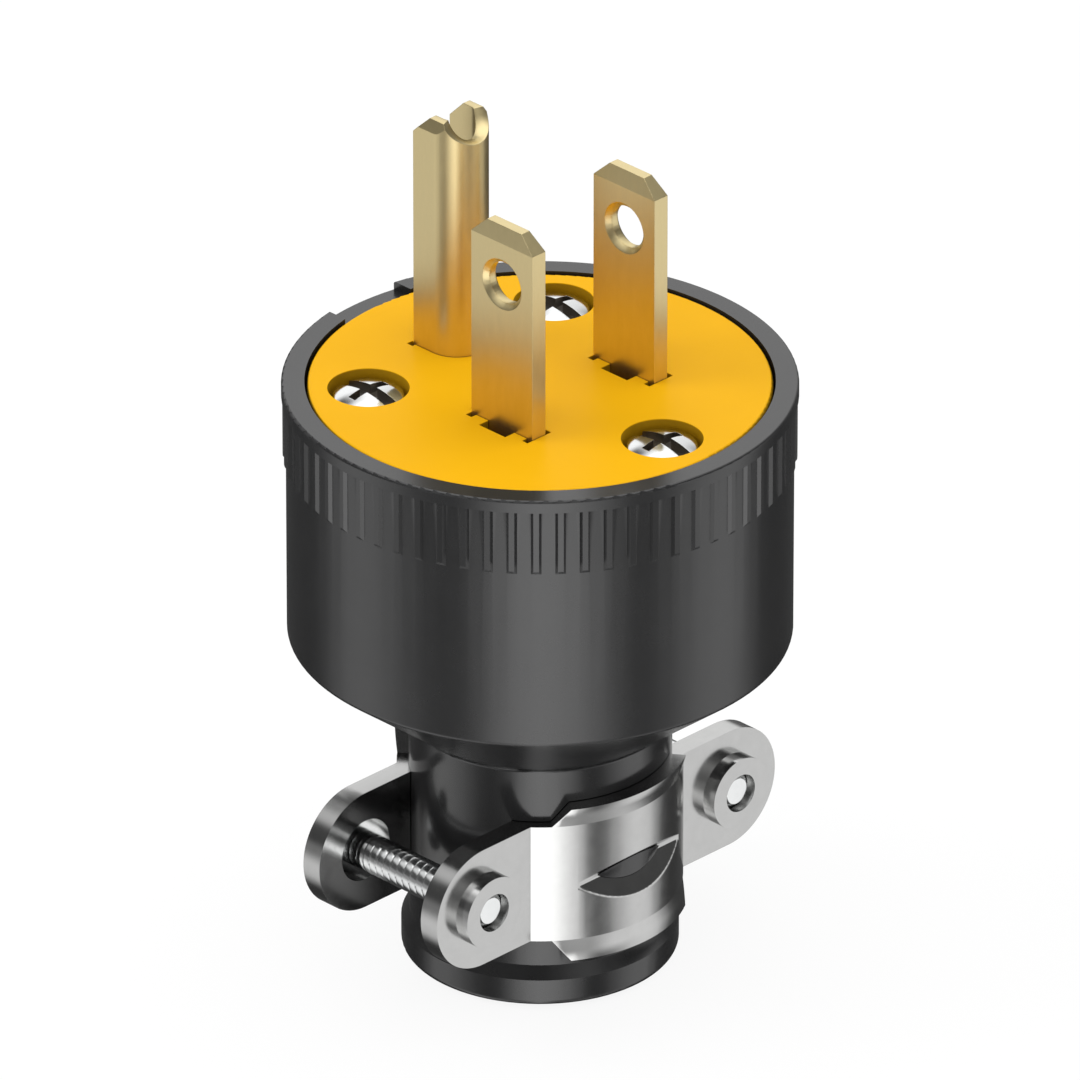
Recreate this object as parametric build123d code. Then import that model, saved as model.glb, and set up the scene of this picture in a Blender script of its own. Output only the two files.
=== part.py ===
from build123d import *
import math
import os

os.makedirs("parts", exist_ok=True)

# A two-pole, three-wire straight-blade power plug, wired by hand. All sizes are in millimetres.
# The frame has its origin at the middle of the foot ring of the neck. +Z runs along the plug to the
# blade tips, +X goes from the neutral blade to the line blade, and +Y goes to the ground pin.

# Blades and pin, from the standard for plugs of this kind
blade_spacing = 12.7  # between the middle planes of the two flat blades
blade_width = 6.35
blade_thickness = 1.38
blade_reach = 16.46  # above the face
row_spacing = 11.81  # from the middle line of the flat blades to the centre of the pin's fold
blade_tip_height = 1.31  # of the tapered tip
blade_tip_edge = 1.40  # taken off each narrow edge at the tip
blade_tip_side = 0.27  # taken off each flat side at the tip
blade_hole_height = 11.77  # above the face
blade_hole_bore = 3.3
blade_hole_sink = 0.38  # chamfer at both mouths of the hole
pin_width = 4.8  # across the two legs of the folded ground pin
pin_sheet = 1.0
pin_inset = 6.86  # from the wall of the wiring chamber to the centre of the round fold
pin_leg = 2.14  # straight part of each leg, from the centre of the fold
pin_reach = 19.15  # above the face
pin_tip_chamfer = 1.45  # at the open edge of each leg
pin_notch_depth = 1.74  # of the round notch that the blank has between the two leg tips
pin_notch_turn = 70.0  # degrees of the fold from the middle of the notch to each end of it
pin_notch_spare = 0.25  # how far above the leg tips its cutter goes on
pin_notch_steps = 16
pin_side_taper = 0.34  # taken off the outer face of each leg at the tip
pin_side_height = 0.93

# Rubber shell
rim_proud = 0.12  # rubber rim above the face
rim_overhang = 0.33  # rim past the body
rim_wall = 1.73  # rubber between the rim's outside and the recess for the cover
rim_band = 1.0  # smooth band of the rim above the grip ribs
rim_edge = 0.2
rim_notch_width = 6.8
rim_notch_depth = 0.68
body_radius = 18.82
body_foot = 26.75  # height of the lower edge of the body
body_length = 20.45  # from there to the yellow face
body_edge = 0.5
rib_count = 66
rib_width = 0.78  # at its foot
rib_side = 0.18  # how much narrower each side is at the top
rib_depth = 0.24
rib_length = 5.2
rib_end_slope = 0.3
rib_turn = 0.56  # degrees, so that a rib faces the same way as on the real mould
neck_radius = 9.85
neck_top = 19.75
neck_blend = 0.5
foot_overhang = 0.55  # foot ring past the neck
foot_band = 2.25
foot_flare = 1.0
foot_edge = 0.6
cord_bore_radius = 6.4
shell_wall = 3.22  # beside the wiring chamber
chamber_clearance = 0.6  # from the pressure plates down to the chamber's funnel
boss_radius = 3.3
boss_depth = 11.2  # columns below the yellow face

# Yellow face cover and the carrier under it
cover_thickness = 3.2
cover_edge = 0.25
cover_gap = 0.2
slot_gap = 0.05  # round a blade or the pin, in the cover and in the carrier
relief_length = 0.6  # reliefs at both ends of a slot, along the slot
relief_depth = 0.5  # past the side of a blade's slot
key_notch_length = 2.75  # notch in the middle of one long side of each blade slot
key_notch_depth = 0.98
carrier_gap = 0.3
shoulder_side = 0.9  # each blade's shoulder past its edges, trapped under the cover
shoulder_height = 3.0
pin_shoulder = 0.6
pin_shank_leg = 3.6  # straight part of each leg below the cover

# Face screws and their inserts
face_screw_inset = 4.51  # from the edge of the cover
face_screw_spread = 49.6  # degrees from +Y to each rear face screw
face_screw_pocket = 3.05  # radius of the pocket in the cover
face_screw_pocket_depth = 2.1
face_screw_head = 2.55  # radius
face_screw_head_height = 2.1
face_screw_head_rim = 1.4
face_screw_shank = 1.45  # radius
face_screw_short = 0.7  # how far the screw's end stays inside its insert
face_screw_slot = 1.05
face_screw_cross = 0.7
face_screw_cross_reach = 1.76
face_screw_recess = 0.85
insert_radius = 2.4
insert_length = 7.0
insert_groove = 0.35
thread_gap = 0.05
screw_hole_gap = 0.25
insert_bore_spare = 0.6  # of the blind hole below each insert

# Terminals inside
terminal_drop = 3.3  # terminal screw axis below the carrier
terminal_tail = 3.3  # blade below the terminal screw axis
terminal_shank = 1.7  # radius of the screw
terminal_head = 3.1
terminal_head_height = 1.8
terminal_head_edge = 0.3
terminal_slot = 0.9
terminal_slot_depth = 0.9
terminal_past = 1.2  # screw end past the far side of the blade
pressure_plate_size = 6.2
pressure_plate_thickness = 0.9
pressure_plate_lip = 0.5

# Cord clamp: two stamped saddles drawn together by two screws
saddle_sheet = 1.7
saddle_proud = 0.85  # outside of the band past the neck
ear_face = 7.06  # outside of the ears, from the plug's middle plane
clamp_height = 10.6  # of the clamp's middle above the foot
band_half_height = 4.83
ear_pitch_past = 2.29  # screw axis past the outside of the band
lip_rise = 1.57  # from the band to the end of a lip
lip_half_width = 5.9
lip_ramp = 1.4  # how far along the sheet each end of a lip slopes
lip_flare = 0.4
imprint_gap = 0.05  # between a saddle and the rubber that it is pressed into
eye_half_length = 5.3  # of the eye, a groove with a flat bottom that is pressed across the band
eye_drop = 0.24  # of the eye below the clamp's middle
eye_bottom_half = 0.18  # half height of the flat bottom
eye_top = 1.45  # upper and lower edge of the groove at the outside of the band
eye_low = 2.05
eye_edge = 0.5  # rounding of the lower edge
collar_radius = 2.84
collar_height = 1.18
clamp_screw_radius = 1.45
clamp_screw_recess = 0.85  # screw end inside the mouth of its collar
clamp_hole_radius = 2.475  # in the ears of the rear saddle
clamp_head_radius = 3.0
clamp_head_height = 1.8
clamp_head_dome = 0.7
clamp_drive_width = 0.8
clamp_drive_reach = 1.7
clamp_drive_depth = 0.9

# Heights and places that follow from the sizes above
face_height = body_foot + body_length
rim_top = face_height + rim_proud
rim_low = rim_top - rim_band
rim_radius = body_radius + rim_overhang
rib_radius = body_radius + rib_depth
foot_radius = neck_radius + foot_overhang
recess_radius = rim_radius - rim_wall
cover_radius = recess_radius - cover_gap
chamber_radius = body_radius - shell_wall
carrier_radius = chamber_radius - carrier_gap
pin_bend_y = chamber_radius - pin_inset
blade_row_y = pin_bend_y - row_spacing
blade_half = blade_spacing / 2
cover_seat = face_height - cover_thickness
shoulder_seat = cover_seat - shoulder_height
boss_top = face_height - boss_depth
terminal_height = boss_top - terminal_drop
blade_foot = terminal_height - terminal_tail
chamber_floor = terminal_height - pressure_plate_size / 2 - chamber_clearance
face_screw_circle = cover_radius - face_screw_inset
screw_seat = face_height - face_screw_pocket_depth
insert_foot = boss_top - insert_length
saddle_radius = neck_radius + saddle_proud
band_inner = saddle_radius - saddle_sheet
lip_half_height = band_half_height + lip_rise
ear_pitch_half = saddle_radius + ear_pitch_past
ear_inner = ear_face - saddle_sheet
eye_height = clamp_height - eye_drop
eye_floor = math.sqrt(saddle_radius**2 - eye_half_length**2)
far = 2 * (face_height + rim_radius)  # longer than anything that is cut


def face_screw_places():
    spots = []
    for turn in (-90, 90 - face_screw_spread, 90 + face_screw_spread):
        angle = math.radians(turn)
        spots.append((face_screw_circle * math.cos(angle), face_screw_circle * math.sin(angle)))
    return spots


def post(radius, low, high, x=0.0, y=0.0):
    return Pos(x, y, low) * Cylinder(radius, high - low, align=(Align.CENTER, Align.CENTER, Align.MIN))


def block(x, y, z):
    # x, y and z are (low, high) pairs
    size = Box(x[1] - x[0], y[1] - y[0], z[1] - z[0], align=(Align.MIN, Align.MIN, Align.MIN))
    return Pos(x[0], y[0], z[0]) * size


def turned(points):
    # points are (radius, height) pairs of a closed section
    return revolve(Plane.XZ * make_face(Polyline(*points, close=True)), Axis.Z)


def rod_along_x(radius, start, end, y, z):
    rod = Cylinder(radius, abs(end - start), align=(Align.CENTER, Align.CENTER, Align.MIN))
    return Pos(min(start, end), y, z) * (Rot(0, 90, 0) * rod)


def rod_along_y(radius, start, end, x, z):
    rod = Cylinder(radius, abs(end - start), align=(Align.CENTER, Align.CENTER, Align.MIN))
    return Pos(x, min(start, end), z) * (Rot(-90, 0, 0) * rod)


# The pin's plan is a strip folded round into a U that opens to +Y
def pin_plan(leg, gap=0.0):
    outer = pin_width / 2 + gap
    inner = pin_width / 2 - pin_sheet - gap
    plan = Circle(outer) + Pos(0, leg / 2) * Rectangle(2 * outer, leg)
    plan -= Circle(inner)
    plan -= Pos(0, (leg + outer) / 2) * Rectangle(2 * inner, leg + outer)
    return Pos(0, pin_bend_y) * plan


# A slot in the cover or carrier for the pin, with room all round the folded strip
def pin_slot(leg, low, high):
    return Pos(0, 0, low) * extrude(pin_plan(leg + slot_gap, slot_gap), high - low)


def blade_slot(centre_x, width, low, high):
    half_x = blade_thickness / 2 + slot_gap
    half_y = width / 2 + slot_gap
    return block(
        (centre_x - half_x, centre_x + half_x), (blade_row_y - half_y, blade_row_y + half_y), (low, high)
    )


def make_shell():
    outside = Plane.XZ * make_face(
        Polyline(
            (0, 0),
            (foot_radius, 0),
            (foot_radius, foot_band),
            (neck_radius, foot_band + foot_flare),
            (neck_radius, neck_top),
            (body_radius, body_foot),
            (body_radius, rim_low),
            (rim_radius, rim_low),
            (rim_radius, rim_top),
            (0, rim_top),
            close=True,
        )
    )
    corners = {
        (foot_radius, 0): foot_edge,
        (neck_radius, neck_top): neck_blend,
        (body_radius, body_foot): body_edge,
        (rim_radius, rim_top): rim_edge,
    }
    for (radius, height), size in corners.items():
        corner = outside.vertices().sort_by_distance((radius, 0, height))[0]
        outside = fillet(corner, size)
    shell = revolve(outside, Axis.Z)

    # grip ribs, moulded under the smooth band and sloped off at their lower ends
    half = rib_width / 2
    crest = half - rib_side
    foot = math.sqrt(body_radius**2 - half**2)
    inner = foot - rim_edge
    side_view = make_face(
        Polyline(
            (inner, rim_low),
            (rib_radius, rim_low),
            (rib_radius, rim_low - rib_length + rib_end_slope),
            (body_radius, rim_low - rib_length),
            (inner, rim_low - rib_length),
            close=True,
        )
    )
    plan = make_face(
        Polyline(
            (inner, -half),
            (foot, -half),
            (rib_radius, -crest),
            (rib_radius, crest),
            (foot, half),
            (inner, half),
            close=True,
        )
    )
    rib = extrude(Plane.XZ * side_view, half, both=True) & extrude(plan, far)
    shell += [Rot(0, 0, rib_turn + k * 360 / rib_count) * rib for k in range(rib_count)]

    # inside: recess for the cover, round chamber, funnel and cord bore, with a column at each face screw
    slope = (body_foot - neck_top) / (body_radius - neck_radius)
    funnel_end = chamber_floor - slope * (chamber_radius - cord_bore_radius)
    inside = turned(
        [
            (0, -shell_wall),
            (cord_bore_radius, -shell_wall),
            (cord_bore_radius, funnel_end),
            (chamber_radius, chamber_floor),
            (chamber_radius, cover_seat),
            (recess_radius, cover_seat),
            (recess_radius, rim_top + shell_wall),
            (0, rim_top + shell_wall),
        ]
    )
    bore_floor = insert_foot - insert_bore_spare
    for x, y in face_screw_places():
        inside -= post(boss_radius, -shell_wall, boss_top, x, y)
        inside += post(insert_radius + thread_gap, bore_floor, boss_top, x, y)
    shell -= inside

    # notch in the rim beside the ground pin, where a screwdriver lifts the cover
    half = rim_notch_width / 2
    shell -= block((-half, half), (pin_bend_y, far), (rim_top - rim_notch_depth, far))

    # the saddles of the cord clamp sink into the neck, and the neck fills their eyes
    imprint = saddle_blank(imprint_gap) - eye_window(-imprint_gap)
    shell -= imprint
    shell -= Rot(0, 0, 180) * imprint
    return shell


def make_cover():
    cover = post(cover_radius, cover_seat, face_height)
    cover = fillet(cover.edges().group_by(Axis.Z)[-1], cover_edge)
    for x, y in face_screw_places():
        cover -= post(face_screw_pocket, screw_seat, far, x, y)
        cover -= post(face_screw_shank + screw_hole_gap, 0, far, x, y)
    for side in (-1, 1):
        x = side * blade_half
        cover -= blade_slot(x, blade_width, cover_seat, far)
        half_x = blade_thickness / 2 + slot_gap
        half_y = blade_width / 2 + slot_gap
        # reliefs across both ends, and a key notch on the -X side of each slot
        wide = (x - half_x - relief_depth, x + half_x + relief_depth)
        low_end = blade_row_y - half_y
        high_end = blade_row_y + half_y
        cover -= block(wide, (low_end, low_end + relief_length), (cover_seat, far))
        cover -= block(wide, (high_end - relief_length, high_end), (cover_seat, far))
        notch_end = x - half_x - key_notch_depth
        notch_half = key_notch_length / 2
        cover -= block(
            (notch_end, x), (blade_row_y - notch_half, blade_row_y + notch_half), (cover_seat, far)
        )
    cover -= pin_slot(pin_leg, cover_seat, far)
    leg_end = pin_bend_y + pin_leg + slot_gap
    leg_outside = pin_width / 2 + slot_gap
    reach = relief_length / 2
    for side in (-1, 1):
        x = side * leg_outside
        cover -= block((x - reach, x + reach), (leg_end - reach, leg_end + reach), (cover_seat, far))
    return cover


def make_carrier():
    carrier = post(carrier_radius, boss_top, cover_seat)
    for x, y in face_screw_places():
        carrier -= post(face_screw_shank + screw_hole_gap, boss_top, cover_seat, x, y)
    for side in (-1, 1):
        x = side * blade_half
        carrier -= blade_slot(x, blade_width, boss_top, cover_seat)
        carrier -= blade_slot(x, blade_width + 2 * shoulder_side, shoulder_seat, cover_seat)
    carrier -= pin_slot(pin_shank_leg, boss_top, cover_seat)
    carrier -= pin_slot(pin_shank_leg + pin_shoulder, shoulder_seat, cover_seat)
    return carrier


# A flat blade in its own frame: its middle plane is X = 0, the terminal side is +X
def flat_blade():
    tip = face_height + blade_reach
    straight = tip - blade_tip_height
    half_x = blade_thickness / 2
    half_y = blade_width / 2
    blade = block((-half_x, half_x), (-half_y, half_y), (blade_foot, straight))
    root = Pos(0, 0, straight) * Rectangle(blade_thickness, blade_width)
    end = Pos(0, 0, tip) * Rectangle(
        blade_thickness - 2 * blade_tip_side, blade_width - 2 * blade_tip_edge
    )
    blade += loft([root.face(), end.face()])
    shoulder = half_y + shoulder_side
    blade += block((-half_x, half_x), (-shoulder, shoulder), (shoulder_seat, cover_seat))
    hole = face_height + blade_hole_height
    blade -= rod_along_x(blade_hole_bore / 2, -far, far, 0, hole)
    for side in (-1, 1):
        sink = Cone(
            blade_hole_bore / 2,
            blade_hole_bore / 2 + 2 * blade_hole_sink,
            2 * blade_hole_sink,
            align=(Align.CENTER, Align.CENTER, Align.MIN),
        )
        blade -= Pos(side * (half_x - blade_hole_sink), 0, hole) * (Rot(0, side * 90, 0) * sink)
    blade -= rod_along_x(terminal_shank + thread_gap, -far, far, 0, terminal_height)
    return blade


# What the round notch in the blank takes away once the blank is folded: its cut edge stays square to
# the sheet, so the floor of the notch is a surface of straight lines that all point at the fold's axis
def pin_notch(tip):
    middle = (pin_width - pin_sheet) / 2
    half_length = middle * math.radians(pin_notch_turn)
    radius = (half_length**2 + pin_notch_depth**2) / (2 * pin_notch_depth)
    centre = tip - pin_notch_depth + radius
    end_lean = math.acos((radius - pin_notch_depth - pin_notch_spare) / radius)
    spare = pin_sheet / 2
    rails = []
    for reach in (middle - pin_sheet / 2 - spare, middle + pin_sheet / 2 + spare):
        points = []
        for k in range(-pin_notch_steps, pin_notch_steps + 1):
            # even steps round the notch's circle, a little past the leg tips
            lean = k / pin_notch_steps * end_lean
            turn = radius * math.sin(lean) / middle
            height = centre - radius * math.cos(lean)
            points.append((reach * math.sin(turn), pin_bend_y - reach * math.cos(turn), height))
        rails.append(Spline(*points))
    floor = Face.make_surface_from_curves(rails[0].edge(), rails[1].edge())
    return Solid.extrude(floor, Vector(0, 0, pin_width))


def make_ground_pin():
    tip = face_height + pin_reach
    pin = Pos(0, 0, blade_foot) * extrude(pin_plan(pin_leg), tip - blade_foot)
    pin += Pos(0, 0, blade_foot) * extrude(pin_plan(pin_shank_leg), cover_seat - blade_foot)
    pin += Pos(0, 0, shoulder_seat) * extrude(
        pin_plan(pin_shank_leg + pin_shoulder), cover_seat - shoulder_seat
    )
    # the open edge of each leg is cut off at a slant
    leg_end = pin_bend_y + pin_leg
    crop = make_face(
        Polyline(
            (leg_end - pin_tip_chamfer, tip),
            (leg_end, tip - pin_tip_chamfer),
            (leg_end + pin_width, tip - pin_tip_chamfer),
            (leg_end + pin_width, tip + pin_width),
            (leg_end - pin_tip_chamfer, tip + pin_width),
            close=True,
        )
    )
    pin -= extrude(Plane.YZ * crop, far, both=True)
    pin -= pin_notch(tip)
    for side in (-1, 1):
        half = pin_width / 2
        taper = make_face(
            Polyline(
                (side * half, tip - pin_side_height),
                (side * (half - pin_side_taper), tip),
                (side * (half + pin_side_taper), tip),
                (side * (half + pin_side_taper), tip - pin_side_height),
                close=True,
            )
        )
        pin -= extrude(Plane.XZ * taper, far, both=True)
    screw_y = pin_bend_y + pin_shank_leg / 2
    pin -= rod_along_x(terminal_shank + thread_gap, 0, far, screw_y, terminal_height)
    return pin


# A slotted terminal screw along +X; seat is the X of the face under its head
def terminal_screw(seat, end, y):
    screw = rod_along_x(terminal_shank, end, seat, y, terminal_height)
    head = rod_along_x(terminal_head, seat, seat + terminal_head_height, y, terminal_height)
    head = fillet(head.edges().group_by(Axis.X)[-1], terminal_head_edge)
    screw += head
    top = seat + terminal_head_height
    half = terminal_slot / 2
    screw -= block(
        (top - terminal_slot_depth, far),
        (y - terminal_head, y + terminal_head),
        (terminal_height - half, terminal_height + half),
    )
    return screw


# A square plate under a terminal screw, turned down at its lower edge so that the wire can't spread
def pressure_plate(seat, y):
    half = pressure_plate_size / 2
    low = terminal_height - half
    section = make_face(
        Polyline(
            (seat, low + pressure_plate_lip),
            (seat + pressure_plate_lip, low),
            (seat + pressure_plate_thickness, low),
            (seat + pressure_plate_thickness, low + pressure_plate_size),
            (seat, low + pressure_plate_size),
            close=True,
        )
    )
    plate = Pos(0, y, 0) * extrude(Plane.XZ * section, half, both=True)
    plate -= rod_along_x(terminal_shank + thread_gap, 0, far, y, terminal_height)
    return plate


# A face screw with a domed head and a combination recess: a slot right across and a short cross
def face_screw(x, y):
    dome_rise = face_screw_head_height - face_screw_head_rim
    dome_radius = (face_screw_head**2 + dome_rise**2) / (2 * dome_rise)
    top = screw_seat + face_screw_head_height
    rim = screw_seat + face_screw_head_rim
    end = insert_foot + face_screw_short
    section = make_face(
        Polyline(
            (0, end),
            (face_screw_shank, end),
            (face_screw_shank, screw_seat),
            (face_screw_head, screw_seat),
            (face_screw_head, rim),
        )
        + RadiusArc((face_screw_head, rim), (0, top), -dome_radius)
        + Line((0, top), (0, end))
    )
    screw = revolve(Plane.XZ * section, Axis.Z)
    floor = top - face_screw_recess
    half = face_screw_slot / 2
    screw -= block((-half, half), (-far, far), (floor, far))
    half = face_screw_cross / 2
    reach = face_screw_cross_reach
    screw -= block((-reach, reach), (-half, half), (floor, far))
    return Pos(x, y, 0) * screw


# A brass insert moulded into a column of the shell, with a groove that keys it
def threaded_insert(x, y):
    low = insert_foot
    middle = (boss_top + low) / 2
    insert = turned(
        [
            (face_screw_shank + thread_gap, low),
            (insert_radius, low),
            (insert_radius, middle - 2 * insert_groove),
            (insert_radius - insert_groove, middle - insert_groove),
            (insert_radius - insert_groove, middle + insert_groove),
            (insert_radius, middle + 2 * insert_groove),
            (insert_radius, boss_top),
            (face_screw_shank + thread_gap, boss_top),
        ]
    )
    return Pos(x, y, 0) * insert


# The stamped saddle on the -Y side, before its screw holes; grow leaves room all round it
def saddle_blank(grow=0.0):
    out = saddle_radius + grow
    inn = band_inner - grow
    low = band_half_height + grow
    high = lip_half_height + grow
    band = turned(
        [
            (inn, -low),
            (inn, low),
            (inn + lip_flare, high),
            (out + lip_flare, high),
            (out, low),
            (out, -low),
            (out + lip_flare, -high),
            (inn + lip_flare, -high),
        ]
    )
    band -= block((-far, far), (grow - ear_inner, far), (-far, far))
    # the lips end in ramps, sheared square to the sheet
    ramp_turn = math.degrees(math.atan2(lip_half_width + lip_ramp / 2, math.sqrt(out**2 - lip_half_width**2)))
    half_ramp = lip_ramp / 2
    foot = half_ramp + grow
    head = grow - half_ramp
    shear = make_face(Polyline((foot, low), (far, low), (far, far), (head, far), (head, high), close=True))
    shear = extrude(Plane.XZ * shear, far)
    for side in (-1, 1):
        trim = shear if side > 0 else mirror(shear, Plane.YZ)
        trim = Rot(0, 0, side * ramp_turn) * trim
        band -= trim
        band -= mirror(trim, Plane.XY)
    # flat ears with round ends
    view = Rectangle(2 * ear_pitch_half, 2 * low)
    for side in (-1, 1):
        view += Pos(side * ear_pitch_half, 0) * Circle(low)
    ears = Pos(0, grow - ear_inner, 0) * extrude(Plane.XZ * view, saddle_sheet + 2 * grow)
    ears -= post(inn, -far, far)
    return Pos(0, 0, clamp_height) * (band + ears)


# The eye's window, where the neck shows through the bottom of the groove
def eye_window(grow=0.0):
    half_length = math.sqrt(neck_radius**2 - eye_floor**2) + grow
    part = (neck_radius - eye_floor) / (saddle_radius - eye_floor)
    top = eye_bottom_half + (eye_top - eye_bottom_half) * part + grow
    low = eye_bottom_half + (eye_low - eye_bottom_half) * part + grow
    upper = ThreePointArc((-half_length, 0), (0, top), (half_length, 0))
    lower = ThreePointArc((-half_length, 0), (0, -low), (half_length, 0))
    return Pos(0, 0, eye_height) * extrude(Plane.XZ * make_face(upper + lower), saddle_radius)


# A saddle with its eye: a groove pressed across the band, and the window in it
def saddle_with_eye():
    depth = saddle_radius - eye_floor
    top = eye_top + (eye_top - eye_bottom_half)
    low = eye_low + (eye_low - eye_bottom_half)
    wall = make_face(
        Polyline(
            (-eye_floor, -eye_bottom_half),
            (-eye_floor, eye_bottom_half),
            (-saddle_radius - depth, top),
            (-saddle_radius - depth, -low),
            close=True,
        )
    )
    groove = Pos(0, 0, eye_height) * extrude(Plane.YZ * wall, neck_radius, both=True)
    saddle = saddle_blank() - groove
    lower_edge = saddle.edges().sort_by_distance((0, -saddle_radius, eye_height - eye_low))[0]
    saddle = fillet(lower_edge, eye_edge)
    return saddle - eye_window()


def make_front_saddle():
    saddle = saddle_with_eye()
    # each ear has a collar drawn up round its tapped hole
    for side in (-1, 1):
        x = side * ear_pitch_half
        saddle += rod_along_y(collar_radius, -ear_face - collar_height, -ear_inner, x, clamp_height)
    for side in (-1, 1):
        hole = clamp_screw_radius + thread_gap
        saddle -= rod_along_y(hole, -far, far, side * ear_pitch_half, clamp_height)
    return saddle


def make_rear_saddle():
    saddle = Rot(0, 0, 180) * saddle_with_eye()
    for side in (-1, 1):
        saddle -= rod_along_y(clamp_hole_radius, -far, far, side * ear_pitch_half, clamp_height)
    return saddle


# A pan head screw along -Y, from the rear ear to the collar of the front ear
def clamp_screw(side):
    end = -(ear_face + collar_height - clamp_screw_recess)
    x = side * ear_pitch_half
    top = ear_face + clamp_head_height
    screw = rod_along_y(clamp_screw_radius, end, ear_face, x, clamp_height)
    head = rod_along_y(clamp_head_radius, ear_face, top, x, clamp_height)
    head = fillet(head.edges().group_by(Axis.Y)[-1], clamp_head_dome)
    screw += head
    half = clamp_drive_width / 2
    reach = clamp_drive_reach
    depth = (top - clamp_drive_depth, far)
    screw -= block((x - half, x + half), depth, (clamp_height - reach, clamp_height + reach))
    screw -= block((x - reach, x + reach), depth, (clamp_height - half, clamp_height + half))
    return screw


def save(solid, name):
    solid.label = name
    export_step(solid, "parts/" + name + ".step")
    print(name, round(solid.volume, 2))


save(make_shell(), "rubber_shell")
save(make_cover(), "face_cover")
save(make_carrier(), "terminal_carrier")

blade = flat_blade()
line_seat = blade_half + blade_thickness / 2
line_end = blade_half - blade_thickness / 2 - terminal_past
save(Pos(blade_half, blade_row_y, 0) * blade, "line_blade")
save(Pos(-blade_half, blade_row_y, 0) * blade, "neutral_blade")
save(make_ground_pin(), "ground_pin")

line_plate = pressure_plate(line_seat, blade_row_y)
line_screw = terminal_screw(line_seat + pressure_plate_thickness, line_end, blade_row_y)
save(line_plate, "line_pressure_plate")
save(line_screw, "line_terminal_screw")
save(mirror(line_plate, Plane.YZ), "neutral_pressure_plate")
save(mirror(line_screw, Plane.YZ), "neutral_terminal_screw")

ground_y = pin_bend_y + pin_shank_leg / 2
ground_seat = pin_width / 2
ground_end = ground_seat - pin_sheet - terminal_past
save(pressure_plate(ground_seat, ground_y), "ground_pressure_plate")
ground_screw = terminal_screw(ground_seat + pressure_plate_thickness, ground_end, ground_y)
save(ground_screw, "ground_terminal_screw")

for place, (x, y) in zip(("front", "right", "left"), face_screw_places()):
    save(face_screw(x, y), "face_screw_" + place)
    save(threaded_insert(x, y), "insert_" + place)

save(make_front_saddle(), "front_saddle")
save(make_rear_saddle(), "rear_saddle")
save(clamp_screw(-1), "clamp_screw_left")
save(clamp_screw(1), "clamp_screw_right")
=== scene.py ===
import math
import bpy
from mathutils import Matrix, Vector


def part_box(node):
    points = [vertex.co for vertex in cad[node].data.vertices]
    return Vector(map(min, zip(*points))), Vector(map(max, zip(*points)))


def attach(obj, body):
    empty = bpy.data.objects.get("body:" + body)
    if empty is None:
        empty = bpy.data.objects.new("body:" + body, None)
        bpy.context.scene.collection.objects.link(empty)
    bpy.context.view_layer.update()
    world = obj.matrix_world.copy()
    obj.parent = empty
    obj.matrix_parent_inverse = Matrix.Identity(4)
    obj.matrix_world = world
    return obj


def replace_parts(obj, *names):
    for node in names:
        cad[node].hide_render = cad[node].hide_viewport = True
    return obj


# Rubber power plug, seen from above its face. In the dictionaries lengths are in millimetres, angles in
# degrees and lamps in watts
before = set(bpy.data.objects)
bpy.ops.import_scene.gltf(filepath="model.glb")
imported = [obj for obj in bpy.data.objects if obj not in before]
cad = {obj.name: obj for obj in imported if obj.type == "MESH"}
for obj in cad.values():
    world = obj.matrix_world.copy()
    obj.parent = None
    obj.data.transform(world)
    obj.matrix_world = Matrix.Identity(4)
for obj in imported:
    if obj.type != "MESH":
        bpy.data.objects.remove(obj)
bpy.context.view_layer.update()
mm = 0.001
print("frame loaded:", len(cad), "nodes")


# Small helpers for materials
def newMaterial(name, colour, roughness, metallic=0.0, specular=0.5):
    mat = bpy.data.materials.new(name)
    mat.use_nodes = True
    shader = mat.node_tree.nodes["Principled BSDF"]
    shader.inputs["Base Color"].default_value = (*colour, 1)
    shader.inputs["Roughness"].default_value = roughness
    shader.inputs["Metallic"].default_value = metallic
    shader.inputs["Specular IOR Level"].default_value = specular
    return mat, mat.node_tree, shader


def objectCoords(tree, stretch=(1, 1, 1)):
    coords = tree.nodes.new("ShaderNodeTexCoord")
    mapping = tree.nodes.new("ShaderNodeMapping")
    mapping.inputs["Scale"].default_value = stretch
    tree.links.new(coords.outputs["Object"], mapping.inputs["Vector"])
    return mapping.outputs["Vector"]


def addNoise(tree, vector, noiseLook):  # noiseLook is (scale, detail, roughness)
    noise = tree.nodes.new("ShaderNodeTexNoise")
    for socket, value in zip(("Scale", "Detail", "Roughness"), noiseLook):
        noise.inputs[socket].default_value = value
    tree.links.new(vector, noise.inputs["Vector"])
    return noise.outputs["Fac"]


noiseSpread = (0.3, 0.7)  # most of a noise lies between these


def addRange(tree, value, low, high, spread=noiseSpread, shape="LINEAR"):
    ranger = tree.nodes.new("ShaderNodeMapRange")
    ranger.interpolation_type = shape
    for socket, number in zip(("From Min", "From Max", "To Min", "To Max"), (*spread, low, high)):
        ranger.inputs[socket].default_value = number
    tree.links.new(value, ranger.inputs["Value"])
    return ranger.outputs["Result"]


def addHeight(tree, heights, bottom, top):  # goes from bottom to top between two heights on the plug
    coords = tree.nodes.new("ShaderNodeTexCoord")
    split = tree.nodes.new("ShaderNodeSeparateXYZ")
    tree.links.new(coords.outputs["Object"], split.inputs["Vector"])
    spread = [height * mm for height in heights]
    return addRange(tree, split.outputs["Z"], bottom, top, spread, "SMOOTHSTEP")


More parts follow.
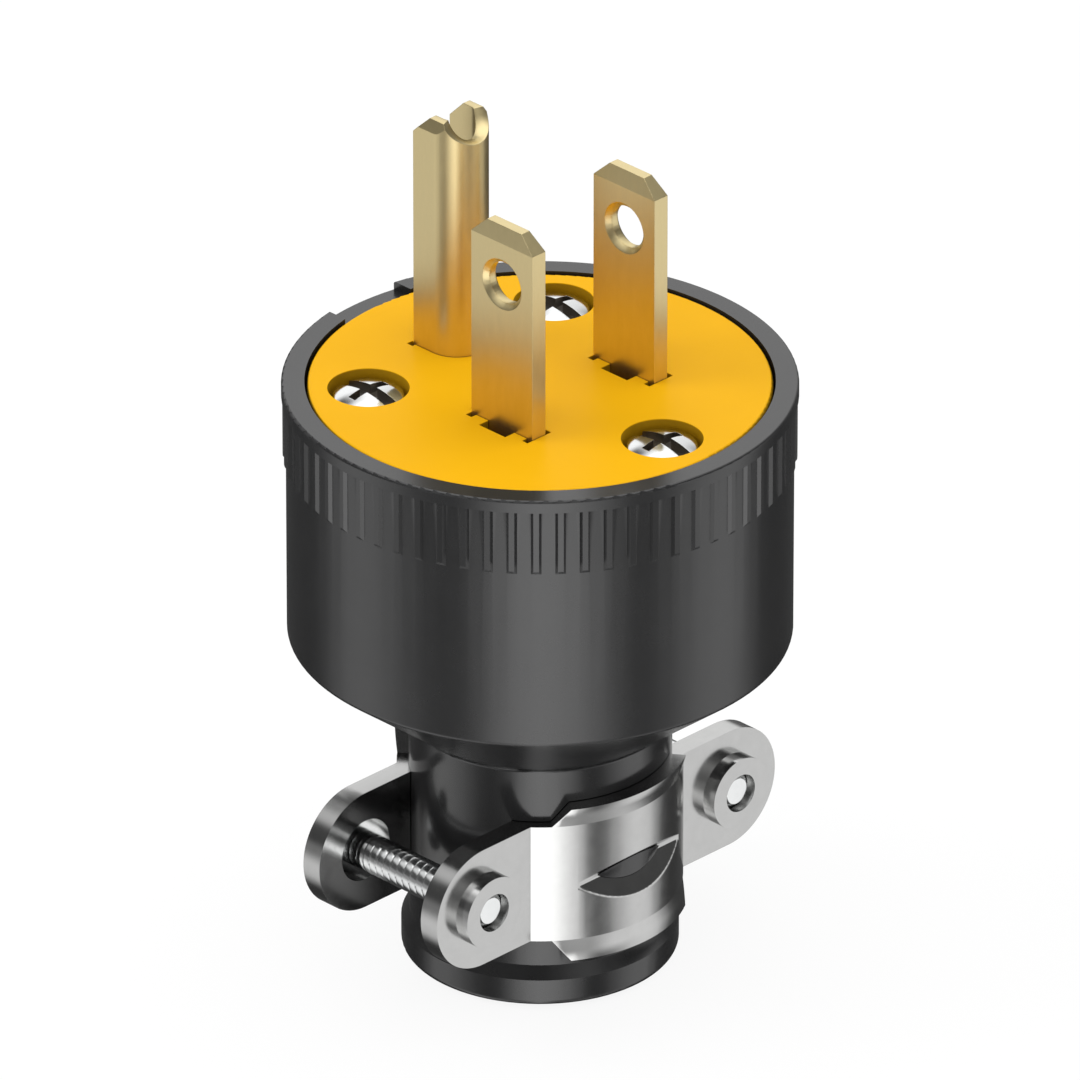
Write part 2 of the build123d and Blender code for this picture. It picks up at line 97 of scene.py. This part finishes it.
def addMix(tree, factor, first, second, kind="RGBA"):  # first and second are colours, numbers or sockets
    mix = tree.nodes.new("ShaderNodeMix")
    mix.data_type = kind
    tree.links.new(factor, mix.inputs["Factor"])
    for value, name in ((first, "A"), (second, "B")):
        if isinstance(value, bpy.types.NodeSocket):
            tree.links.new(value, mix.inputs[name])
        else:
            mix.inputs[name].default_value = (*value, 1) if kind == "RGBA" else value
    return mix.outputs["Result"]


def addBump(tree, shader, height, strength, depth):
    bump = tree.nodes.new("ShaderNodeBump")
    bump.inputs["Strength"].default_value = strength
    bump.inputs["Distance"].default_value = depth * mm
    tree.links.new(height, bump.inputs["Height"])
    tree.links.new(bump.outputs["Normal"], shader.inputs["Normal"])


rubberLook = {
    "dark": (0.017, 0.017, 0.0175), "pale": (0.022, 0.022, 0.0225), "specular": 0.66,
    "bodyRough": 0.24, "neckRough": 0.16, "neckTop": (19.4, 20.4),  # the neck is the smoother part
    "mottle": (260, 6.0, 0.7), "grain": (3500, 3.0, 0.5), "bump": 0.08, "bumpDepth": 0.02,
}


def makeRubber():
    look = rubberLook
    mat, tree, shader = newMaterial("blackRubber", look["dark"], look["bodyRough"],
                                    specular=look["specular"])
    vector = objectCoords(tree)
    mottle = addNoise(tree, vector, look["mottle"])
    grain = addNoise(tree, vector, look["grain"])
    colour = addMix(tree, addRange(tree, mottle, 0, 1), look["dark"], look["pale"])
    tree.links.new(colour, shader.inputs["Base Color"])
    rough = addHeight(tree, look["neckTop"], look["neckRough"], look["bodyRough"])
    tree.links.new(rough, shader.inputs["Roughness"])
    addBump(tree, shader, grain, look["bump"], look["bumpDepth"])
    return mat


coverLook = {
    "deep": (0.92, 0.474, 0.005), "pale": (0.95, 0.494, 0.007), "specular": 0.05, "rough": 0.42,
    # the darker colour here is painted shade on the walls of the pockets and slots, below the face
    "wall": (0.40, 0.215, 0.006), "wallTop": (47.1, 47.17),  # walls of the pockets and slots, under the face
    "cloud": (120, 4.0, 0.5), "grain": (4200, 2.0, 0.5), "bump": 0.05, "bumpDepth": 0.02,
}


def makeYellow():
    look = coverLook
    mat, tree, shader = newMaterial("yellowNylon", look["deep"], look["rough"], specular=look["specular"])
    vector = objectCoords(tree)
    cloud = addNoise(tree, vector, look["cloud"])
    grain = addNoise(tree, vector, look["grain"])
    face = addMix(tree, addRange(tree, cloud, 0, 1), look["deep"], look["pale"])
    # painted shade: the walls of the pockets and slots below the face take the darker colour
    colour = addMix(tree, addHeight(tree, look["wallTop"], 0, 1), look["wall"], face)
    tree.links.new(colour, shader.inputs["Base Color"])
    addBump(tree, shader, grain, look["bump"], look["bumpDepth"])
    return mat


carrierLook = {
    "dark": (0.27, 0.27, 0.26), "pale": (0.34, 0.34, 0.33), "rough": 0.5, "cloud": (500, 3.0, 0.5),
}


def makeGrey():
    look = carrierLook
    mat, tree, shader = newMaterial("greyNylon", look["dark"], look["rough"])
    cloud = addNoise(tree, objectCoords(tree), look["cloud"])
    tree.links.new(addMix(tree, cloud, look["dark"], look["pale"]), shader.inputs["Base Color"])
    return mat


# Each metal goes between two tones and two roughnesses, in spots or in streaks along the plug
even = (1, 1, 1)
alongPlug = (1, 1, 0.3)
metalLooks = {
    "brass": {"dark": (0.70, 0.58, 0.31), "pale": (0.745, 0.62, 0.335), "rough": (0.35, 0.39),
              "stretch": alongPlug, "streaks": (1500, 4.0, 0.6), "bump": 0.004},
    "platedSteel": {"dark": (0.46, 0.46, 0.455), "pale": (0.49, 0.49, 0.485), "rough": (0.15, 0.19),
                    "stretch": even, "streaks": (900, 4.0, 0.6), "bump": 0.03},
    "screwPlating": {"dark": (0.72, 0.73, 0.73), "pale": (0.78, 0.79, 0.79), "rough": (0.12, 0.17),
                     "stretch": even, "streaks": (700, 4.0, 0.6), "bump": 0.01},
    # painted shade: a darker copy of the screw plating for the faces inside the screw recesses
    "recessPaintedShade": {"dark": (0.24, 0.22, 0.20), "pale": (0.28, 0.26, 0.235), "rough": (0.3, 0.4),
                      "stretch": even, "streaks": (700, 4.0, 0.6), "bump": 0.01},
    "greenPlating": {"dark": (0.08, 0.30, 0.11), "pale": (0.12, 0.38, 0.15), "rough": (0.28, 0.36),
                     "stretch": even, "streaks": (700, 4.0, 0.6), "bump": 0.04},
}
metalBumpDepth = 0.01


def makeMetal(name):
    look = metalLooks[name]
    mat, tree, shader = newMaterial(name, look["dark"], look["rough"][0], metallic=1.0)
    streaks = addNoise(tree, objectCoords(tree, look["stretch"]), look["streaks"])
    colour = addMix(tree, addRange(tree, streaks, 0, 1), look["dark"], look["pale"])
    tree.links.new(colour, shader.inputs["Base Color"])
    tree.links.new(addRange(tree, streaks, *look["rough"]), shader.inputs["Roughness"])
    addBump(tree, shader, streaks, look["bump"], metalBumpDepth)
    return mat


rubber = makeRubber()
yellow = makeYellow()
brass = makeMetal("brass")
steel = makeMetal("platedSteel")
chrome = makeMetal("screwPlating")
recessPaintedShade = makeMetal("recessPaintedShade")
green = makeMetal("greenPlating")
grey = makeGrey()
print("materials made")


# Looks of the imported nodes: material and slot. Where the piece shows, then come the width of its rounded
# edges and the angle in degrees from which an edge counts as one
dressing = {
    "rubber_shell": (rubber, "black_rubber", 0.05, 28),
    "face_cover": (yellow, "yellow_cover", 0.03, 28),
    "terminal_carrier": (grey, "grey_carrier"),
    "line_blade": (brass, "brass", 0.03, 6),
    "neutral_blade": (brass, "brass", 0.03, 6),
    "ground_pin": (brass, "brass", 0.03, 11),
    "line_pressure_plate": (brass, "brass"),
    "neutral_pressure_plate": (brass, "brass"),
    "ground_pressure_plate": (brass, "brass"),
    "line_terminal_screw": (brass, "brass"),
    "neutral_terminal_screw": (chrome, "plated_screw"),
    "ground_terminal_screw": (green, "green_screw"),
    "insert_front": (brass, "brass"),
    "insert_right": (brass, "brass"),
    "insert_left": (brass, "brass"),
    "front_saddle": (steel, "plated_steel", 0.17, 12),
    "rear_saddle": (steel, "plated_steel", 0.17, 12),
}
meshLook = {"weld": 0.002, "flatDegrees": 0.3, "edgeSegments": 2}


def soften(obj, bevel, crease):  # rounded edges with even shading
    edge = obj.modifiers.new("edge", "BEVEL")
    edge.width = bevel * mm
    edge.segments = meshLook["edgeSegments"]
    edge.limit_method = "ANGLE"
    edge.angle_limit = math.radians(crease)
    obj.modifiers.new("weigh", "WEIGHTED_NORMAL")


def shadeSmooth(obj):
    for face in obj.data.polygons:
        face.use_smooth = True


def dress(name, mat, slotName, *edges):
    obj = cad[name]
    obj.data.materials.clear()
    obj.data.materials.append(mat)
    weld = obj.modifiers.new("weld", "WELD")
    weld.merge_threshold = meshLook["weld"] * mm
    flat = obj.modifiers.new("flat", "DECIMATE")  # joins the triangles of each flat face
    flat.decimate_type = "DISSOLVE"
    flat.angle_limit = math.radians(meshLook["flatDegrees"])
    if edges:
        soften(obj, *edges)
    shadeSmooth(obj)


for nodeName, look in dressing.items():
    dress(nodeName, *look)
print("nodes dressed")


# Turned and cut shapes for the screws that show. Each is made upright, with its seat at height 0
def meshFromRings(name, rings):  # rings are lists of points, all of one length, and both ends are closed
    verts = [[value * mm for value in point] for ring in rings for point in ring]
    count = len(rings[0])
    last = len(rings) - 1
    faces = []
    for k in range(last):
        for j in range(count):
            n = (j + 1) % count
            faces.append((k * count + j, k * count + n, (k + 1) * count + n, (k + 1) * count + j))
    faces.append(tuple(reversed(range(count))))
    faces.append(tuple(range(last * count, len(verts))))
    mesh = bpy.data.meshes.new(name)
    mesh.from_pydata(verts, [], faces)
    obj = bpy.data.objects.new(name, mesh)
    bpy.context.collection.objects.link(obj)
    return obj


def turnedRings(profile, segments):  # profile is a list of (radius, height)
    angles = [2 * math.pi * j / segments for j in range(segments)]
    return [[(r * math.cos(a), r * math.sin(a), z) for a in angles] for r, z in profile]


def threadRings(look, start, end):  # a helical thread from height start up to end
    rings = []
    steps = round((end - start) / look["pitch"] * look["stepsPerTurn"])
    for k in range(steps + 1):
        z = start + (end - start) * k / steps
        ring = []
        for j in range(look["segments"]):
            turn = j / look["segments"]
            phase = (z / look["pitch"] - turn) % 1
            flank = abs(math.cos(math.pi * phase)) ** look["flank"]
            r = look["root"] + (look["crest"] - look["root"]) * flank
            ring.append((r * math.cos(2 * math.pi * turn), r * math.sin(2 * math.pi * turn), z))
        rings.append(ring)
    return rings


def cutBox(obj, low, high):  # low and high are opposite corners
    bpy.ops.mesh.primitive_cube_add(size=1, location=[(a + b) / 2 * mm for a, b in zip(low, high)])
    cutter = bpy.context.object
    cutter.scale = [(b - a) * mm for a, b in zip(low, high)]
    cut = obj.modifiers.new("cut", "BOOLEAN")
    cut.operation = "DIFFERENCE"
    cut.solver = "EXACT"
    cut.object = cutter
    bpy.context.view_layer.objects.active = obj
    bpy.ops.object.modifier_apply(modifier=cut.name)
    cutterMesh = cutter.data
    bpy.data.objects.remove(cutter)
    bpy.data.meshes.remove(cutterMesh)


def domeHeight(look, r):  # height of a head's top at radius r
    rise = look["top"] - look["sideTop"]
    bow = (look["head"] ** 2 + rise ** 2) / (2 * rise)
    return look["top"] - bow + math.sqrt(bow ** 2 - r ** 2)


def domeProfile(look):  # from the rim of a head up to its middle
    points = [(look["head"], look["sideTop"] - look["edge"])]
    for k in range(look["domeSteps"]):
        r = (look["head"] - look["edge"]) * (1 - k / look["domeSteps"])
        points.append((r, domeHeight(look, r)))
    return points + [(look["crown"], look["top"])]


# Radii of head and shank, and the heights of the head's side and top. "past" is how far a cutter reaches
faceScrewLook = {
    "head": 2.64, "sideTop": 1.55, "top": 2.1, "edge": 0.05, "crown": 0.02, "shank": 1.45,
    "slot": 1.05, "cross": 0.74, "crossReach": 1.76, "floor": 1.25, "past": 4,
    "floorSpare": 0.01, "topSpare": 0.05,  # faces this far inside the recess get a darker copy of the plating, painted shade
    "bevel": 0.02, "crease": 28, "segments": 96, "domeSteps": 20,
}


def makeFaceScrew(node):
    look = faceScrewLook
    low, high = (Vector(corner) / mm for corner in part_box(node))
    seat = high.z - look["top"]
    profile = [(look["shank"], low.z - seat), (look["shank"], 0), (look["head"], 0)] + domeProfile(look)
    obj = meshFromRings(node + "_shown", turnedRings(profile, look["segments"]))
    floor = look["floor"]
    past = look["past"]
    half = look["slot"] / 2
    cutBox(obj, (-half, -past, floor), (half, past, past))
    half = look["cross"] / 2
    reach = look["crossReach"]
    cutBox(obj, (-reach, -half, floor), (reach, half, past))
    obj.data.materials.append(chrome)
    obj.data.materials.append(recessPaintedShade)
    for face in obj.data.polygons:
        x, y, z = face.center / mm
        top = domeHeight(look, min(math.hypot(x, y), look["head"]))
        # painted shade: faces inside the recess take the darker copy of the plating
        if floor - look["floorSpare"] < z < top - look["topSpare"]:
            face.material_index = 1
    soften(obj, look["bevel"], look["crease"])
    shadeSmooth(obj)
    middle = (low + high) / 2
    obj.location = Vector((middle.x, middle.y, seat)) * mm
    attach(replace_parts(obj, node), "root")


# The same for the clamp screws, whose drive is a plain cross. The thread stops short of head and tip
clampScrewLook = {
    "head": 3.0, "sideTop": 0.9, "top": 1.8, "edge": 0.2, "crown": 0.02,
    "drive": 0.8, "driveReach": 1.7, "driveDepth": 0.9, "past": 4,
    "pitch": 0.7, "crest": 1.45, "root": 1.4, "flank": 0.22, "runOut": 0.1, "tip": 1.02,
    "crease": 40, "segments": 64, "stepsPerTurn": 14, "domeSteps": 14,
}


def makeClampScrew(node):
    look = clampScrewLook
    low, high = (Vector(corner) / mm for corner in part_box(node))
    seat = high.y - look["top"]
    end = low.y - seat
    tipEnd = end - (look["crest"] - look["tip"])  # the chamfered tip goes a little past the solid
    chamfer = [(look["tip"], tipEnd), (look["crest"], end)]
    head = [(look["root"], 0), (look["head"], 0)] + domeProfile(look)
    rings = turnedRings(chamfer, look["segments"])
    rings += threadRings(look, end + look["runOut"], -look["runOut"])
    rings += turnedRings(head, look["segments"])
    obj = meshFromRings(node + "_shown", rings)
    half = look["drive"] / 2
    reach = look["driveReach"]
    past = look["past"]
    floor = look["top"] - look["driveDepth"]
    cutBox(obj, (-half, -reach, floor), (half, reach, past))
    cutBox(obj, (-reach, -half, floor), (reach, half, past))
    obj.data.materials.append(chrome)
    shadeSmooth(obj)
    obj.data.set_sharp_from_angle(angle=math.radians(look["crease"]))
    obj.rotation_euler = (math.radians(-90), 0, 0)  # upright turns to +Y
    middle = (low + high) / 2
    obj.location = Vector((middle.x, seat, middle.z)) * mm
    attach(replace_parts(obj, node), "root")


for place in ("front", "right", "left"):
    makeFaceScrew("face_screw_" + place)
for place in ("left", "right"):
    makeClampScrew("clamp_screw_" + place)
print("screws made")


# Pale floor. "shadowShare" is how much of its lit surface shows, and the rest of what the camera sees glows
floorLook = {"size": 6000, "drop": 0.3, "albedo": 0.9, "rough": 0.9, "shadowShare": 0.13, "glow": 1.03}


def makeFloor():
    look = floorLook
    bpy.ops.mesh.primitive_plane_add(size=look["size"] * mm, location=(0, 0, -look["drop"] * mm))
    floor = bpy.context.object
    floor.name = "floor"
    mat, tree, shader = newMaterial("paleFloor", (look["albedo"],) * 3, look["rough"], specular=0.0)
    glow = tree.nodes.new("ShaderNodeEmission")
    glow.inputs["Strength"].default_value = look["glow"]
    path = tree.nodes.new("ShaderNodeLightPath")
    seen = tree.nodes.new("ShaderNodeMath")
    seen.operation = "MAXIMUM"
    share = tree.nodes.new("ShaderNodeMath")
    share.operation = "MULTIPLY"
    share.inputs[1].default_value = 1 - look["shadowShare"]
    mix = tree.nodes.new("ShaderNodeMixShader")
    tree.links.new(path.outputs["Is Camera Ray"], seen.inputs[0])
    tree.links.new(path.outputs["Is Glossy Ray"], seen.inputs[1])
    tree.links.new(seen.outputs[0], share.inputs[0])
    tree.links.new(share.outputs[0], mix.inputs["Fac"])
    tree.links.new(shader.outputs["BSDF"], mix.inputs[1])
    tree.links.new(glow.outputs["Emission"], mix.inputs[2])
    tree.links.new(mix.outputs["Shader"], tree.nodes["Material Output"].inputs["Surface"])
    floor.data.materials.append(mat)
    floor.visible_glossy = False


# The camera aims at a point "aside" and "above", as the picture has it, from the middle of the face
cameraLook = {
    "azimuth": -44.931, "elevation": 28.197, "distance": 1597.7, "lens": 721.04, "sensor": 36,
    "faceHeight": 47.2, "aside": -0.008, "above": -11.736, "clip": (100, 20000),
}

# The studio as shiny surfaces see it. Each row goes right round at one elevation, and has pairs of a turn
# in degrees from the camera's side and the strength there. One row goes over into the next between two
# heights of the line of sight, from -1 straight down to 1 straight up
studioLook = {
    "rows": {
        "below": ((-180, 0.05), (-120, 0.05), (-84, 1.2), (-52, 0.7), (-26, 0.7), (0, 2.0), (22, 0.7),
                  (42, 0.45), (60, 0.5), (84, 0.8), (120, 0.05)),
        "low": ((-180, 0.08), (-128, 0.06), (-117, 0.12), (-108, 0.4), (-98, 0.9), (-84, 1.05), (-74, 0.9),
                (-64, 0.6), (-54, 0.28), (-44, 0.18), (-34, 0.28), (-26, 0.9), (-18, 1.6), (-8, 2.2),
                (0, 2.4), (11, 2.2), (22, 1.6), (32, 0.9), (40, 0.28), (47, 0.18), (55, 0.28), (64, 0.65),
                (74, 1.0), (84, 1.15), (98, 1.05), (108, 0.5), (117, 0.12), (128, 0.06)),
        "level": ((-180, 0.15), (-124, 0.1), (-84, 0.3), (-50, 0.45), (0, 0.5), (36, 0.6), (60, 1.2),
                  (90, 1.2), (124, 0.12)),
        "raised": ((-180, 1.25), (-150, 1.25), (-128, 0.7), (-108, 0.15), (-84, 0.08), (-50, 0.15),
                   (0, 0.08), (39, 0.6), (60, 0.25), (78, 0.08), (104, 0.1), (130, 0.2), (150, 0.4),
                   (166, 1.0)),
        "high": ((-180, 1.4), (-165, 0.8), (-150, 0.12), (-128, 0.3), (-106, 0.85), (-60, 0.6), (0, 0.75),
                 (22, 0.9), (45, 0.3), (62, 0.12), (80, 0.25), (100, 0.4), (150, 0.8)),
    },
    "overhead": 1.75,
    "steps": ((-0.8, -0.62), (-0.42, -0.06), (0.02, 0.22), (0.5, 0.66), (0.76, 0.92)),
    "peak": 3.0,  # a ramp's colours end at 1, so they are shares of this strength
    "soft": 0.7,  # plain light for matt surfaces
    "background": 1.0,
}


def addSoftBoxes(tree, around, pairs):
    ramp = tree.nodes.new("ShaderNodeValToRGB")
    ramp.color_ramp.interpolation = "EASE"
    stops = ramp.color_ramp.elements
    stops.remove(stops[1])
    for turn, strength in pairs + ((180, pairs[0][1]),):
        stop = stops.new(0.5 + turn / 360) if turn > -180 else stops[0]  # the first stop is there already
        stop.color = (*(strength / studioLook["peak"],) * 3, 1)
    tree.links.new(around, ramp.inputs["Fac"])
    scaled = tree.nodes.new("ShaderNodeMath")
    scaled.operation = "MULTIPLY"
    scaled.inputs[1].default_value = studioLook["peak"]
    tree.links.new(ramp.outputs["Color"], scaled.inputs[0])
    return scaled.outputs["Value"]


def makeWorld():
    world = bpy.data.worlds.new("studio")
    bpy.context.scene.world = world
    world.use_nodes = True
    tree = world.node_tree
    tree.nodes["Background"].inputs["Color"].default_value = (1, 1, 1, 1)
    coords = tree.nodes.new("ShaderNodeTexCoord")
    turned = tree.nodes.new("ShaderNodeVectorRotate")
    turned.rotation_type = "Z_AXIS"
    turned.inputs["Angle"].default_value = -math.radians(270 + cameraLook["azimuth"])  # camera in the middle
    tree.links.new(coords.outputs["Generated"], turned.inputs["Vector"])
    around = tree.nodes.new("ShaderNodeTexGradient")
    around.gradient_type = "RADIAL"
    tree.links.new(turned.outputs["Vector"], around.inputs["Vector"])
    split = tree.nodes.new("ShaderNodeSeparateXYZ")
    tree.links.new(coords.outputs["Generated"], split.inputs["Vector"])
    rows = [addSoftBoxes(tree, around.outputs["Fac"], row) for row in studioLook["rows"].values()]
    rows.append(studioLook["overhead"])
    shiny = rows[0]
    for step, row in zip(studioLook["steps"], rows[1:]):
        rise = addRange(tree, split.outputs["Z"], 0, 1, step, "SMOOTHSTEP")
        shiny = addMix(tree, rise, shiny, row, "FLOAT")
    path = tree.nodes.new("ShaderNodeLightPath")
    lit = addMix(tree, path.outputs["Is Glossy Ray"], studioLook["soft"], shiny, "FLOAT")
    seen = addMix(tree, path.outputs["Is Camera Ray"], lit, studioLook["background"], "FLOAT")
    tree.links.new(seen, tree.nodes["Background"].inputs["Strength"])


lampLook = {
    "key": {"place": (-360, 330, 480), "size": (360, 360), "power": 1.1},
    "top": {"place": (60, -40, 700), "size": (500, 500), "power": 1.1},
    "fill": {"place": (480, -260, 300), "size": (300, 500), "power": 0.3},
}
lampAim = (0, 0, 30)


def makeLamps():
    target = Vector(lampAim) * mm
    for name, look in lampLook.items():
        data = bpy.data.lights.new(name, "AREA")
        data.shape = "RECTANGLE"
        data.size = look["size"][0] * mm
        data.size_y = look["size"][1] * mm
        data.energy = look["power"]
        lamp = bpy.data.objects.new(name, data)
        lamp.visible_glossy = False  # shiny surfaces see the studio's soft boxes
        lamp.location = Vector(look["place"]) * mm
        lamp.rotation_euler = (target - lamp.location).to_track_quat("-Z", "Y").to_euler()
        bpy.context.collection.objects.link(lamp)


def makeCamera():
    look = cameraLook
    azimuth = math.radians(look["azimuth"])
    elevation = math.radians(look["elevation"])
    level = math.cos(elevation)
    back = Vector((math.sin(azimuth) * level, -math.cos(azimuth) * level, math.sin(elevation)))
    right = Vector((math.cos(azimuth), math.sin(azimuth), 0))
    up = back.cross(right)
    data = bpy.data.cameras.new("camera")
    data.lens = look["lens"]
    data.sensor_width = look["sensor"]
    data.clip_start = look["clip"][0] * mm
    data.clip_end = look["clip"][1] * mm
    camera = bpy.data.objects.new("camera", data)
    aim = Vector((0, 0, look["faceHeight"])) + right * look["aside"] + up * look["above"]
    camera.location = (aim + back * look["distance"]) * mm
    camera.rotation_euler = Matrix((right, up, back)).transposed().to_euler()
    bpy.context.collection.objects.link(camera)
    bpy.context.scene.camera = camera


makeFloor()
makeWorld()
makeLamps()
makeCamera()
bpy.context.scene.view_settings.view_transform = "Standard"
print("stage set")
